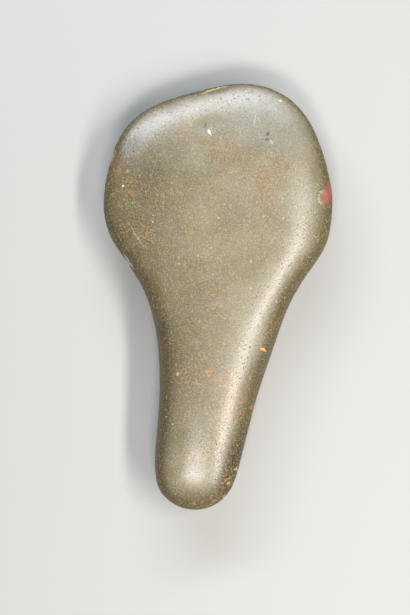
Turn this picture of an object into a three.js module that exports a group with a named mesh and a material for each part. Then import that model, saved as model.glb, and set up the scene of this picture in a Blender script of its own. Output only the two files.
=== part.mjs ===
// A polished stone axe: one piece of fine-grained greenstone, ground and polished all over.
// It lies on its underside. Millimetres, +Z up, +Y from the poll to the cutting edge.
// The origin is on the resting plane, under the middle of the stone's box.
import * as THREE from "three";
import { mergeVertices } from "three/addons/utils/BufferGeometryUtils.js";

// Driving sizes
const LENGTH = 240; // poll to cutting edge
const BLADE_WIDTH = 129.5; // across the cheeks of the round blade
const BLADE_CENTRE = new THREE.Vector2(0, 52);
const POLL_RADIUS = 23.8; // the rounded end that was held in the haft
const POLL_CENTRE = new THREE.Vector2(-13, POLL_RADIUS - LENGTH / 2);

// The blade is a round lobe whose cutting edge swells out to two soft corners, seen from above.
const RIGHT_CORNER = { angle: 60, rise: 7.5, spread: 45 };
const LEFT_CORNER = { angle: 137.5, rise: 3.3, spread: 32 };
const LOBE = { from: -8, to: 184, step: 12 };
const POLL_ARC = { from: 210, to: 345, step: 27 };

// The flanks run from the blade into the poll, the right one nearly straight, the left one waisted.
const LEFT_FLANK = [
  [-61, 34], [-50.8, 18], [-41.4, 2], [-35.6, -18], [-33.3, -48], [-34.8, -76], [-35.9, -94],
];
const RIGHT_FLANK = [
  [15.8, -80], [22.1, -56], [32.2, -26], [39.4, -6], [48.4, 10], [57.2, 22], [61.7, 30.5],
];

// Across the stone each face is one swelling curve, highest along the spine, that rounds over into
// the sides. The underside is the same, worn flat where it rests.
const HALF_THICKNESS = 18.5;
const BOW_HALF_LENGTH = 290; // where the lengthwise bow of a face would meet the plane of the outline
const FULLNESS = 2.15; // 2 would make the cross-section an ellipse, and more makes it squarer
const FLAT_DEPTH = 1.1;

// The right flank is fuller where the blade narrows into the stem.
const SHOULDER = { centre: new THREE.Vector2(40, 14), rise: 1.3, spread: 46 };

// Both faces thin towards the cutting edge, in step with their distance from a wide arc just outside
// it: a long taper over the blade, then a short bevel. They thin a little towards the poll as well.
// A share is what is lost of the height at the very end.
const EDGE_ARC = { centre: new THREE.Vector2(6, 26), radius: 95 };
const TAPER = { share: 0.2, length: 62 };
const BEVEL = { share: 0.16, length: 22 };
const POLL_TAPER = { share: 0.3, length: 60 };

// Mesh
const OUTLINE_STEPS = 1440;
const BLADE_RAYS = 44;
const FLANK_RAYS = 26;
const POLL_RAYS = 18;
const RINGS = 15;
const WELD = 1e-3; // points closer together than this are one

const unit = (degrees) => {
  const radians = THREE.MathUtils.degToRad(degrees);
  return new THREE.Vector2(Math.cos(radians), Math.sin(radians));
};

// A soft swelling, so far off its middle: the whole rise in the middle, nothing beyond its spread
function swelling(off, { rise, spread }) {
  return Math.abs(off) < spread ? (rise * (1 + Math.cos((Math.PI * off) / spread))) / 2 : 0;
}

function arc({ from, to, step }, centre, radiusAt) {
  const points = [];
  for (let angle = from; angle <= to; angle += step)
    points.push(unit(angle).multiplyScalar(radiusAt(angle)).add(centre));
  return points;
}

// The outline, anticlockwise seen from above
function outline() {
  const corners = (angle) =>
    swelling(angle - RIGHT_CORNER.angle, RIGHT_CORNER) + swelling(angle - LEFT_CORNER.angle, LEFT_CORNER);
  const points = [
    ...arc(POLL_ARC, POLL_CENTRE, () => POLL_RADIUS),
    ...RIGHT_FLANK.map(([x, y]) => new THREE.Vector2(x, y)),
    ...arc(LOBE, BLADE_CENTRE, (angle) => BLADE_WIDTH / 2 + corners(angle)),
    ...LEFT_FLANK.map(([x, y]) => new THREE.Vector2(x, y)),
  ];
  const curve = new THREE.CatmullRomCurve3(
    points.map(({ x, y }) => new THREE.Vector3(x, y, 0)),
    true,
    "centripetal",
  );
  return curve.getSpacedPoints(OUTLINE_STEPS);
}

// How far it is from a point inside the outline to the outline, in a direction
function reach(from, direction, edge) {
  const across = new THREE.Vector2(-direction.y, direction.x);
  let farthest = 0;
  for (let i = 1; i < edge.length; i++) {
    const a = new THREE.Vector2(edge[i - 1].x, edge[i - 1].y).sub(from);
    const b = new THREE.Vector2(edge[i].x, edge[i].y).sub(from);
    const [sideA, sideB] = [a.dot(across), b.dot(across)];
    if (sideA === sideB || sideA * sideB > 0) continue;
    const share = sideA / (sideA - sideB);
    farthest = Math.max(farthest, a.lerp(b, share).dot(direction));
  }
  return farthest;
}

// Rays from the spine to the outline: a fan round the blade, rungs down the left flank, a fan round
// the poll and rungs back up the right flank
function rays() {
  const edge = outline();
  const spine = new THREE.Vector2().subVectors(BLADE_CENTRE, POLL_CENTRE);
  const right = THREE.MathUtils.radToDeg(spine.angle()) - 90;
  const left = right + 180;
  const rung = (share) => new THREE.Vector2().lerpVectors(POLL_CENTRE, BLADE_CENTRE, share);
  const made = [];
  const add = (centre, angle) => {
    const direction = unit(angle);
    made.push({ centre, direction, length: reach(centre, direction, edge) });
  };
  for (let i = 0; i < BLADE_RAYS; i++) add(BLADE_CENTRE, right + (180 * i) / BLADE_RAYS);
  for (let i = FLANK_RAYS; i > 0; i--) add(rung(i / FLANK_RAYS), left);
  for (let i = 0; i < POLL_RAYS; i++) add(POLL_CENTRE, left + (180 * i) / POLL_RAYS);
  for (let i = 0; i < FLANK_RAYS; i++) add(rung(i / FLANK_RAYS), right);
  return made;
}

// The share of the height left at a point once both ends are thinned
function thinness(point) {
  const { x, y } = point.clone().sub(EDGE_ARC.centre);
  const toEdge = Math.max(0, EDGE_ARC.radius - Math.hypot(x, Math.max(0, y)));
  const toPoll = point.y + LENGTH / 2;
  const lost = (away, { share, length }) => share * Math.max(0, 1 - away / length) ** 2;
  return 1 - lost(toEdge, TAPER) - lost(toEdge, BEVEL) - lost(toPoll, POLL_TAPER);
}

// Height of a face over the plane of the outline, at a point a given share of the way along a ray
function height(share, point) {
  const bow = 1 - (point.y / BOW_HALF_LENGTH) ** 2;
  const fullness = FULLNESS + swelling(point.distanceTo(SHOULDER.centre), SHOULDER);
  return HALF_THICKNESS * thinness(point) * bow * Math.sqrt(1 - share ** fullness);
}

// One face of the stone, above the plane of the outline (up = 1) or below it (up = -1). The rings
// crowd towards the outline, where the face turns down the steepest.
function addFace(up, spokes, positions, indices) {
  const first = positions.length / 3;
  const middle = HALF_THICKNESS - FLAT_DEPTH;
  for (const spoke of spokes) {
    for (let ring = 0; ring <= RINGS; ring++) {
      const share = Math.sin(((Math.PI / 2) * ring) / RINGS);
      const point = spoke.direction.clone().multiplyScalar(spoke.length * share).add(spoke.centre);
      positions.push(point.x, point.y, Math.max(0, middle + up * height(share, point)));
    }
  }
  for (let i = 0; i < spokes.length; i++) {
    for (let ring = 0; ring < RINGS; ring++) {
      const a = first + i * (RINGS + 1) + ring;
      const b = first + ((i + 1) % spokes.length) * (RINGS + 1) + ring;
      const [inner, outer] = up > 0 ? [b, a] : [a, b];
      indices.push(inner, outer, outer + 1, inner, outer + 1, inner + 1);
    }
  }
}

// Both faces on the same rays, welded along the spine and along the outline. Where a fan's rays
// meet, a triangle has shrunk to a line and is dropped.
function stoneGeometry() {
  const spokes = rays();
  const positions = [];
  const indices = [];
  for (const up of [1, -1]) addFace(up, spokes, positions, indices);
  const faces = new THREE.BufferGeometry();
  faces.setAttribute("position", new THREE.Float32BufferAttribute(positions, 3));
  faces.setIndex(indices);
  const welded = mergeVertices(faces, WELD);
  const kept = [];
  for (let i = 0; i < welded.index.count; i += 3) {
    const triangle = [0, 1, 2].map((corner) => welded.index.getX(i + corner));
    if (new Set(triangle).size === 3) kept.push(...triangle);
  }
  welded.setIndex(kept);
  welded.computeVertexNormals();
  return welded;
}

// The stone is set down with the middle of its box over the origin.
function setDown(geometry) {
  geometry.computeBoundingBox();
  const { min, max } = geometry.boundingBox;
  return geometry.translate(-(min.x + max.x) / 2, -(min.y + max.y) / 2, -min.z);
}

const greenstone = new THREE.MeshStandardMaterial({ color: "#8a7d5f", roughness: 0.42, metalness: 0 });
const stone = new THREE.Mesh(setDown(stoneGeometry()), greenstone);
stone.name = "stone_axe";

const axe = new THREE.Group();
axe.add(stone);

export default axe;
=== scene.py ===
import math

import bmesh
import bpy
from mathutils import Matrix, Vector, noise


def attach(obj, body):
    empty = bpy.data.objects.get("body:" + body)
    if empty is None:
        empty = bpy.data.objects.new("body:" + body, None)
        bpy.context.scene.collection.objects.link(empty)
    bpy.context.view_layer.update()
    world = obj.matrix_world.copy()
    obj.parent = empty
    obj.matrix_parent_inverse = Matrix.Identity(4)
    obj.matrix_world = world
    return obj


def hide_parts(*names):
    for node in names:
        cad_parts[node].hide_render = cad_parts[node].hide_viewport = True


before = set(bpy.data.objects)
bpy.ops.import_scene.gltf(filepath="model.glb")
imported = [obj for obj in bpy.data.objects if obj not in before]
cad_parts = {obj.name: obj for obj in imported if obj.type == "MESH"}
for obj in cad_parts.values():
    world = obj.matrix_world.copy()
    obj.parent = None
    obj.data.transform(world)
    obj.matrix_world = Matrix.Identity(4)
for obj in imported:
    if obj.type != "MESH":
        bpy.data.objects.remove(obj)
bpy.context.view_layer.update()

# The stone: one cobble of fine-grained greenstone, pecked to shape, then ground with sand and water
# until both faces ran smoothly into the sides. Ground by hand, it is nowhere quite even.
MM = 0.001
OUTLINE_HEIGHT = 17.4 * MM  # the sides are steepest here, half way up
WAVES = [(34, 0.45), (13, 0.07)]  # millimetres: length of the grinding waves, depth

# Old damage, worn soft: where it lies, half its length, half its width, its turn and its depth
CHIPS = {
    "flake_off_cutting_edge": ((-0.6, 116.2), 7.5, 2.4, 12, 0.7),
    "second_flake_off_edge": ((-9.5, 115), 5, 2, 14, 0.35),
    "flake_off_left_cheek": ((-59.4, 78.4), 6, 2, 72, 0.6),
    "nick_under_left_cheek": ((-51.8, 18.2), 5.5, 2.2, 52, 0.9),
    "chip_by_the_paint": ((58.6, 57.4), 3.4, 2.8, 80, 0.45),
    "dish_in_the_face": ((-4.5, 95.5), 10, 6.5, 10, 0.35),
    "hollow_in_the_shoulder": ((-47, 86), 12, 8, 50, 0.3),
}
CHIPS_REACH = 14.4 * MM  # a chip in the rim runs down to this height
RESTS = 0.05 * MM  # what is lower than this lies on the floor and keeps its place

stone = bpy.data.objects.new("greenstone_axe", bpy.data.meshes.new("greenstone_axe"))
bpy.context.scene.collection.objects.link(stone)
ground = bmesh.new()
ground.from_mesh(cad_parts["stone_axe"].data)
bmesh.ops.remove_doubles(ground, verts=ground.verts, dist=0.001 * MM)
bmesh.ops.join_triangles(
    ground, faces=ground.faces, angle_face_threshold=math.pi, angle_shape_threshold=math.pi
)
ground.to_mesh(stone.data)
ground.free()
smoothing = stone.modifiers.new("ground_smooth", "SUBSURF")
smoothing.levels = smoothing.render_levels = 2
bpy.context.view_layer.update()
smooth_mesh = bpy.data.meshes.new_from_object(
    stone.evaluated_get(bpy.context.evaluated_depsgraph_get())
)
stone.modifiers.clear()
stone.data = smooth_mesh


def worn_depth(place):
    """How far grinding and old damage have taken the surface down at a place, in millimetres"""
    depth = 0
    for length, deep in WAVES:
        depth += deep * (0.5 + 0.5 * noise.noise(place / length))
    if place.z < CHIPS_REACH / MM:
        return depth
    for (x, y), half_length, half_width, turn, deep in CHIPS.values():
        off = Matrix.Rotation(math.radians(-turn), 2) @ Vector((place.x - x, place.y - y))
        reach = (off.x / half_length) ** 2 + (off.y / half_width) ** 2
        depth += deep * max(0, 1 - reach) ** 2
    return depth


# The surface is worn down, and each point keeps how far it turns to the side, for the patina and
# painted shade of the sides, the specks and the gleam
worn = bmesh.new()
worn.from_mesh(stone.data)
worn.normal_update()
side = worn.verts.layers.float.new("side")
for vertex in worn.verts:
    vertex[side] = 1 - abs(vertex.normal.z)
moves = [(vertex, vertex.normal * worn_depth(vertex.co / MM) * MM) for vertex in worn.verts]
for vertex, move in moves:
    if vertex.co.z > RESTS:
        vertex.co -= move
worn.to_mesh(stone.data)
worn.free()
stone.data.shade_smooth()

# Ground greenstone, a fine-grained altered rock. Grinding leaves it satin rather than glossy; the
# eye reads a grey-olive ground, a dense grain of tan and pale minerals, rust and tiny open pits.
# The patterns in it: size in millimetres, levels of finer detail, how rough these are, and where the
# rock is cut
PATTERNS = {
    "cloud": (14, 3, 0.55, (0, 0, 0)),
    "rust": (26, 5, 0.62, (0.3, 0.1, 0)),
    "grain": (0.8, 2, 0.6, (0.05, 0, 0.2)),  # the real grain of 0.1 to 0.3 mm is too fine to show
    "speck": (1.05, 1, 0.5, (0.1, 0.7, 0)),
    "speck_tint": (4.2, 3, 0.55, (0, 0, 0)),
    "pit": (1.1, 1, 0.5, (0.6, 0, 0.1)),  # only the larger of the open pits
}
FLECK = 3.6 * MM  # from one bright mineral to the next
WANDER = 2.4 * MM  # the outline of a spot wanders in steps of this length
STRAY = 1.6 * MM  # and strays this far, at most half of it to either side
EXTENT = 1.25 * MM  # a spot has faded out a quarter beyond its stated millimetres
DEEP = 1000  # metres: a spot is the same all through the stone
FADE = 1.6 * MM  # stains and marks are on the upper face and fade out this far under the outline

# Rust and soil have soaked into the upper face in clouds, where the ochre specks lie thick: place,
# half length, half width, turn and strength, in millimetres and degrees
STAINS = [
    ((-5.5, 84.5), 15, 7, 172, 0.65),
    ((-54, 61), 19, 10, 97, 1.2),
    ((-38, 32), 7, 5, 0, 0.5),
    ((-10.5, 63), 6, 3, 0, 0.6),
    ((21.3, 65), 7, 4, 0, 0.3),
    ((-4.6, 49), 5, 3, 0, 0.5),
    ((22.4, 29), 8, 5, 20, 0.6),
    ((-10, 16), 9, 6, 0, 0.4),
    ((57, 31), 10, 4, 70, 0.9),
    ((59.5, 67), 6, 4, 60, 0.7),
    ((-35, 4), 7, 4, 110, 0.8),
    ((30.3, -17.6), 13, 4, 70, 1.0),
    ((19, -62), 22, 4, 72, 0.7),
    ((-14, -46.5), 11, 4.5, 175, 0.8),
    ((6.5, -101), 12, 6, 60, 1.0),
    ((-3, -113), 12, 5, 15, 1.0),
    ((-28, -70), 14, 6, 85, 0.5),
]

# Wide soft washes of colour on both faces, in the same way, with the colour before the strength:
# painted shade darkens the left cheek and stem, the right rim and the poll, where less light falls, and
# a painted sheen of pale bluish grey lies under the cutting edge
PAINTED_SHADE = "#463c20"
PAINTED_SHEEN = "#75776f"
SHADE_AND_SHEEN = [
    ((-66, 66), 50, 70, 0, PAINTED_SHADE, 0.6),
    ((-50, 84), 9, 7, 50, PAINTED_SHADE, 0.7),
    ((80, 54), 28, 62, 0, PAINTED_SHADE, 0.62),
    ((-25, -4), 25, 42, 10, PAINTED_SHADE, 0.28),
    ((-17, -48), 14, 50, 8, PAINTED_SHADE, 0.3),
    ((18, -106), 23, 32, 0, "#2a220e", 0.9),  # the darkest painted shade, down the right side of the poll
    ((-13, -122), 22, 14, 0, PAINTED_SHADE, 0.6),
    # painted sheen: pale bluish grey where the cool far window is reflected under the cutting edge
    ((27, 97), 27, 17, 150, PAINTED_SHEEN, 0.5),
    ((-2, 91), 20, 10, 0, PAINTED_SHEEN, 0.25),
]

# Single marks on the upper face, in the same way, with their colour, strength and depth
MARKS = [
    # the bruised rim of a chip on the right cheek, and red paint that runs into the chip
    ((58.3, 55.6), 4.2, 3, 80, "#b3a685", 0.45, 0),
    ((58.5, 55.6), 3.1, 2.2, 80, "#5d4e3c", 0.7, 0.1),
    ((61.9, 59), 5.8, 2.8, 72, "#8d4137", 0.75, 0),
    ((60.6, 54.6), 3.6, 3, 60, "#8d463a", 0.65, 0),
    # rust vein that runs down from the cutting edge, and the ring beside its top
    ((-23.4, 105.5), 5, 0.6, 105, "#7d4433", 0.5, 0.1),
    ((-20.6, 98.4), 5, 0.5, 122, "#7d4433", 0.5, 0.1),
    ((-16.5, 92), 5, 0.5, 126, "#8a5640", 0.45, 0.1),
    ((-20.3, 107), 1.6, 1.2, 0, "#8a5644", 0.5, 0.05),
    # ochre on the face
    ((4.4, 81.4), 2.2, 0.8, 170, "#a07644", 0.45, 0),
    ((-6, 85.4), 7, 1.2, 175, "#765a34", 0.35, 0),
    ((-48.2, 57.9), 3, 1.3, 140, "#986b3a", 0.45, 0),
    ((-55.5, 70), 2.6, 1.3, 70, "#8f6838", 0.4, 0),
    ((-55.2, 51.5), 2.8, 1.5, 60, "#80603a", 0.4, 0),
    ((10.3, 69.8), 3.4, 1.4, 20, "#98855a", 0.2, 0),
    # orange flecks down the stem
    ((-5.4, -41.4), 2.3, 0.9, 10, "#b3793c", 0.5, 0),
    ((-10.5, -48.2), 3, 0.7, 175, "#a27840", 0.4, 0),
    ((-17.5, -47.4), 2.2, 0.6, 20, "#a67c42", 0.45, 0),
    ((-22.8, -43), 1, 0.9, 0, "#cdb078", 0.5, 0),
    ((25.2, -29.6), 2, 0.9, 150, "#cfa35e", 0.65, 0),
    ((18.4, -62), 0.8, 1.3, 0, "#b0693a", 0.5, 0),
    ((10, -96.4), 1.1, 1, 0, "#bd8a40", 0.6, 0),
    ((5.8, -104.2), 1.2, 0.9, 20, "#b58c4c", 0.6, 0),
    ((4.8, -102), 6, 0.35, 35, "#a88a58", 0.4, 0),
    ((3.4, -112.2), 1, 0.9, 0, "#b07c40", 0.6, 0),
    ((-2.6, -114.2), 1.3, 0.8, 0, "#a8743a", 0.6, 0),
    ((-13.5, -115), 0.9, 0.7, 0, "#b27c40", 0.5, 0),
    # painted sheen of bluish grey on the shoulders of the cutting edge, where the cool window is
    # reflected, and painted shade in the duller band between
    ((-38, 96), 14, 8, 36, "#9b9a92", 0.14, 0),
    ((35, 103), 11, 7, 125, "#9b9c98", 0.18, 0),
    ((-3, 96.5), 10, 7, 0, "#4a4738", 0.12, 0),
    # open pits, and the dish with a painted glint: a near-white crescent where light catches a pit
    ((-4.8, 91), 0.5, 1.9, 22, "#f4f1e6", 0.95, 0),
    ((-7.2, 94.8), 1.3, 1.8, 0, "#4c4636", 0.6, 0.5),
    ((27.6, 90.4), 1.8, 1.1, 65, "#37332a", 0.75, 0.6),
    ((27, 87), 1.4, 0.9, 20, "#403a2c", 0.65, 0.5),
    ((29.6, 85.4), 1.5, 0.5, 120, "#c8b880", 0.4, 0),
    ((38, 72), 2.2, 1.5, 80, "#4d452f", 0.35, 0.1),
    ((-37, 70.4), 5, 1.8, 5, "#474031", 0.22, 0),
    # painted shade below the left shoulder of the cutting edge, where the surface turns from the light
    ((-46.5, 84), 7, 4, 30, "#474133", 0.2, 0),
    # pale scratches and bruises
    ((-45.7, 34.2), 9.4, 0.36, 122, "#b5a988", 0.42, 0.05),
    ((20.4, 98.2), 4.2, 0.4, 78, "#b8a184", 0.35, 0),
    ((34.8, 109.6), 0.8, 0.7, 0, "#d3c69c", 0.6, 0),
    ((-1, 116.6), 7.5, 0.5, 14, "#b49c68", 0.5, 0.1),
    ((-6.5, 114.6), 3.6, 0.5, 24, "#b49a64", 0.55, 0.1),
    ((-58.9, 78.2), 3.8, 0.7, 70, "#a8824a", 0.6, 0),
    ((-50, 19.6), 5.2, 0.6, 123, "#c9c0a0", 0.6, 0),
    ((34, 114.8), 5, 0.4, 150, "#a88e58", 0.4, 0),
    ((-50.5, 70.1), 0.9, 1, 0, "#b5a47a", 0.35, 0),
    ((-53.3, 61.6), 0.7, 0.7, 0, "#ddd4ba", 0.7, 0),
]

greenstone = bpy.data.materials.new("ground_greenstone")
greenstone.use_nodes = True
tree = greenstone.node_tree


def linear(hex_colour):
    """An sRGB hex colour as the linear RGBA that a shader takes"""
    srgb = [int(hex_colour[i : i + 2], 16) / 255 for i in (1, 3, 5)]
    return [c / 12.92 if c <= 0.04045 else ((c + 0.055) / 1.055) ** 2.4 for c in srgb] + [1]


def add(kind, inputs=None, output=0, **settings):
    """A shader node with its settings, its inputs linked or set, and the output that is wanted"""
    node = tree.nodes.new("ShaderNode" + kind)
    for name, value in settings.items():
        setattr(node, name, value)
    for name, value in (inputs or {}).items():
        if isinstance(value, bpy.types.NodeSocket):
            tree.links.new(value, node.inputs[name])
        else:
            node.inputs[name].default_value = linear(value) if isinstance(value, str) else value
    return node.outputs[output]


SMOOTH = {"interpolation_type": "SMOOTHSTEP"}  # a map range that eases in and out
COLOURS = {"data_type": "RGBA", "output": 2}  # a mix of the colours in its inputs 6 and 7

# A place on the stone: how far it turns to the side, whether it is on the upper face, and the place
# itself pushed about, so that spots and stains have ragged outlines
place = add("TexCoord", output="Object")
side_share = add("Attribute", output="Fac", attribute_name="side")
height = add("SeparateXYZ", {"Vector": place}, output="Z")
face_up = add(
    "MapRange",
    {"Value": height, "From Min": OUTLINE_HEIGHT - FADE, "From Max": OUTLINE_HEIGHT},
    **SMOOTH,
)
push = add("TexNoise", {"Vector": place, "Scale": 1 / WANDER, "Detail": 2}, output="Color")
push = add("VectorMath", {0: push, 1: [0.5] * 3}, operation="SUBTRACT")
torn = add("VectorMath", {0: push, 1: [STRAY] * 3, 2: place}, operation="MULTIPLY_ADD")


def spot(centre, half_length, half_width, turn):
    """1 in the middle of an oval spot, falling to 0 at its rim"""
    inputs = {
        "Vector": torn,
        "Location": (centre[0] * MM, centre[1] * MM, 0),
        "Rotation": (0, 0, math.radians(turn)),
        "Scale": (half_length * EXTENT, half_width * EXTENT, DEEP),
    }
    oval = add("Mapping", inputs, vector_type="TEXTURE")
    return add("TexGradient", {"Vector": oval}, output="Fac", gradient_type="SPHERICAL")


rock = {}
for name, (size, detail, roughness, cut) in PATTERNS.items():
    moved = add("Mapping", {"Vector": place, "Location": cut})
    inputs = {"Vector": moved, "Scale": 1 / (size * MM), "Detail": detail, "Roughness": roughness}
    rock[name] = add("TexNoise", inputs)

# Rust lies in clouds of its own and in the stains, and ochre specks gather in it
rust = add("MapRange", {"Value": rock["rust"], "From Min": 0.45, "From Max": 0.7}, **SMOOTH)
for *oval, strength in STAINS:
    stain = add("Math", {0: spot(*oval), 1: face_up}, operation="MULTIPLY")
    rust = add("Math", {0: stain, 1: strength, 2: rust}, operation="MULTIPLY_ADD")
rusty = add("MapRange", {"Value": rust, "From Min": 0, "From Max": 1.3}, **SMOOTH)
speck_limit = add("MapRange", {"Value": rusty, "To Min": 0.59, "To Max": 0.51}, **SMOOTH)
specks = add("Math", {0: rock["speck"], 1: speck_limit}, operation="SUBTRACT")
brown = add("MapRange", {"Value": rock["speck_tint"], "From Min": 0.42, "From Max": 0.62}, **SMOOTH)
speck_colour = add("Mix", {0: brown, 6: "#a59266", 7: "#946c46"}, **COLOURS)
speck_strength = add(
    "MapRange",
    {"Value": side_share, "From Min": 0.15, "From Max": 0.7, "To Min": 0.34, "To Max": 0.2},
    **SMOOTH,
)

# Bright minerals lie scattered, each of its own size and either pale or ochre
fleck = add("TexVoronoi", {"Vector": place, "Scale": 1 / FLECK})
lot = add("SeparateColor", {"Color": fleck.node.outputs["Color"]}).node.outputs
fleck_size = add(
    "MapRange", {"Value": lot["Red"], "From Min": 0.6, "From Max": 1, "To Max": 0.16}, **SMOOTH
)
flecks = add("Math", {0: fleck, 1: fleck_size}, operation="SUBTRACT")
ochre = add("MapRange", {"Value": lot["Green"], "From Min": 0.45, "From Max": 0.6}, **SMOOTH)
fleck_colour = add("Mix", {0: ochre, 6: "#c4b790", 7: "#bd8a4a"}, **COLOURS)

# The colours that lie over one another: the colour, the pattern it follows, where on that pattern
# it starts and where it is full, and its strength there
layers = [
    ("#776f5b", rock["cloud"], 0.3, 0.7, 1),  # paler clouds
    ("#6f5331", rust, 0, 1.3, 0.48),
    ("#3d3112", side_share, 0.05, 0.32, 0.88),  # the darker skin of the sides: partly the stone's browner patina, partly painted shade that deepens the more the surface turns to the side
]
# the painted shade and painted sheen, laid over the clouds, the rust and the sides
for *oval, painted_tone, strength in SHADE_AND_SHEEN:
    layers.append((painted_tone, spot(*oval), 0, 0.6, strength))
layers += [
    ("#9c9076", rock["grain"], 0.5, 0.74, 0.46),  # pale minerals
    ("#443d2c", rock["grain"], 0.5, 0.27, 0.4),  # dark minerals
    (speck_colour, specks, -0.03, 0.07, speck_strength),
    ("#2f2a1d", rock["pit"], 0.36, 0.28, 0.3),
    (fleck_colour, flecks, 0.03, -0.03, 0.45),
]
colour = "#6e6651"
for over, pattern, start, full, strength in layers:
    share = add(
        "MapRange",
        {"Value": pattern, "From Min": start, "From Max": full, "To Max": strength},
        **SMOOTH,
    )
    colour = add("Mix", {0: share, 6: colour, 7: over}, **COLOURS)

# The single marks crumble along the grain at their outlines, and the open ones are sunk
pits = add("MapRange", {"Value": rock["pit"], "From Min": 0.36, "From Max": 0.28}, **SMOOTH)
sunk = add("Math", {0: pits, 1: 0.35}, operation="MULTIPLY")
crumbled = add(
    "MapRange",
    {"Value": rock["grain"], "From Min": 0.35, "From Max": 0.65, "To Min": 0.3, "To Max": 0},
    **SMOOTH,
)
for *oval, mark, strength, depth in MARKS:
    inside = add("Math", {0: spot(*oval), 1: crumbled}, operation="SUBTRACT")
    mask = add(
        "MapRange",
        {"Value": inside, "From Min": 0.03, "From Max": 0.28, "To Max": face_up},
        **SMOOTH,
    )
    share = add("Math", {0: mask, 1: strength}, operation="MULTIPLY")
    colour = add("Mix", {0: share, 6: colour, 7: mark}, **COLOURS)
    if depth:
        sunk = add("Math", {0: mask, 1: depth, 2: sunk}, operation="MULTIPLY_ADD")

# Relief too fine for the mesh, and a satin gleam that is duller in the pits and down the sides
grain_height = add("Math", {0: rock["grain"], 1: 0.25}, operation="MULTIPLY")
relief = add("Math", {0: grain_height, 1: sunk}, operation="SUBTRACT")
bump = add("Bump", {"Height": relief, "Strength": 1, "Distance": 0.1 * MM})
satin = add(
    "MapRange",
    {"Value": rock["cloud"], "From Min": 0.3, "From Max": 0.7, "To Min": 0.33, "To Max": 0.38},
    **SMOOTH,
)
roughness = add("Math", {0: pits, 1: 0.38, 2: satin}, operation="MULTIPLY_ADD")
gleam = add(
    "MapRange",
    {"Value": side_share, "From Min": 0.1, "From Max": 0.5, "To Min": 0.52, "To Max": 0.25},
    **SMOOTH,
)
shader = tree.nodes["Principled BSDF"]
shader.inputs["IOR"].default_value = 1.6  # that of the minerals in such rock
for name, value in (
    ("Base Color", colour),
    ("Roughness", roughness),
    ("Specular IOR Level", gleam),
    ("Normal", bump),
):
    tree.links.new(value, shader.inputs[name])
stone.data.materials.clear()
stone.data.materials.append(greenstone)

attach(stone, "root")
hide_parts("stone_axe")

# The floor: a sheet of pale matt paper that the stone lies on, rolled out wide enough to fill every
# view. It is part of the studio and not of the stone.
FLOOR_SIZE = 6
floor = bpy.data.objects.new("floor", bpy.data.meshes.new("floor"))
bpy.context.scene.collection.objects.link(floor)
sheet = bmesh.new()
bmesh.ops.create_grid(sheet, x_segments=1, y_segments=1, size=FLOOR_SIZE / 2)
sheet.to_mesh(floor.data)
sheet.free()
paper = bpy.data.materials.new("pale_paper")
paper.use_nodes = True
paper.node_tree.nodes["Principled BSDF"].inputs["Base Color"].default_value = linear("#9c9a96")
paper.node_tree.nodes["Principled BSDF"].inputs["Roughness"].default_value = 0.9
floor.data.materials.append(paper)

# The light: a tall window on the right, a cooler one low beyond the cutting edge, and a small soft
# one over the poll, all a metre away in a white room that hardly adds any of its own.
ROOM_LIGHT = 0.05

# Degrees round from +X, up and tilted, size in metres, watts and colour
LIGHTS = {
    "right_window": ((-23, 49, 15), (1.08, 0.12), 14.7, "#fffefa"),
    "far_window": ((105, 32, 0), (1.3, 0.14), 17.5, "#eaf3ff"),
    "over_the_poll": ((-94, 57, 0), (0.42, 0.28), 9, "#ffffff"),
}
aim = Vector((0, 0.02, 0.02))
for name, ((round_from_x, up, tilt), (wide, tall), watts, light_colour) in LIGHTS.items():
    lamp = bpy.data.lights.new(name, "AREA")
    lamp.shape = "RECTANGLE"
    lamp.size, lamp.size_y = wide, tall
    lamp.energy = watts
    lamp.color = linear(light_colour)[:3]
    light = bpy.data.objects.new(name, lamp)
    bpy.context.scene.collection.objects.link(light)
    turn, lift = math.radians(round_from_x), math.radians(up)
    towards = Vector((math.cos(turn) * math.cos(lift), math.sin(turn) * math.cos(lift), math.sin(lift)))
    light.location = aim + towards
    facing = towards.to_track_quat("Z", "Y").to_matrix()
    light.rotation_euler = (facing @ Matrix.Rotation(math.radians(tilt), 3, "Z")).to_euler()
room = bpy.data.worlds.new("room")
bpy.context.scene.world = room
room.use_nodes = True
room.node_tree.nodes["Background"].inputs["Color"].default_value = (1, 1, 1, 1)
room.node_tree.nodes["Background"].inputs["Strength"].default_value = ROOM_LIGHT

# The camera: a long lens that looks straight down on the stone, with the cutting edge away from
# the viewer.
VIEW_HEIGHT = 345.6 * MM  # how much of the outline's plane the picture takes in
LOOK_AT = Vector((-7.4 * MM, -6.1 * MM, OUTLINE_HEIGHT))
lens = bpy.data.cameras.new("camera")
lens.lens = 100
lens.sensor_width = 36
camera = bpy.data.objects.new("camera", lens)
camera.location = LOOK_AT + Vector((0, 0, lens.lens / lens.sensor_width * VIEW_HEIGHT))
bpy.context.scene.collection.objects.link(camera)
bpy.context.scene.camera = camera
bpy.context.scene.view_settings.view_transform = "Standard"
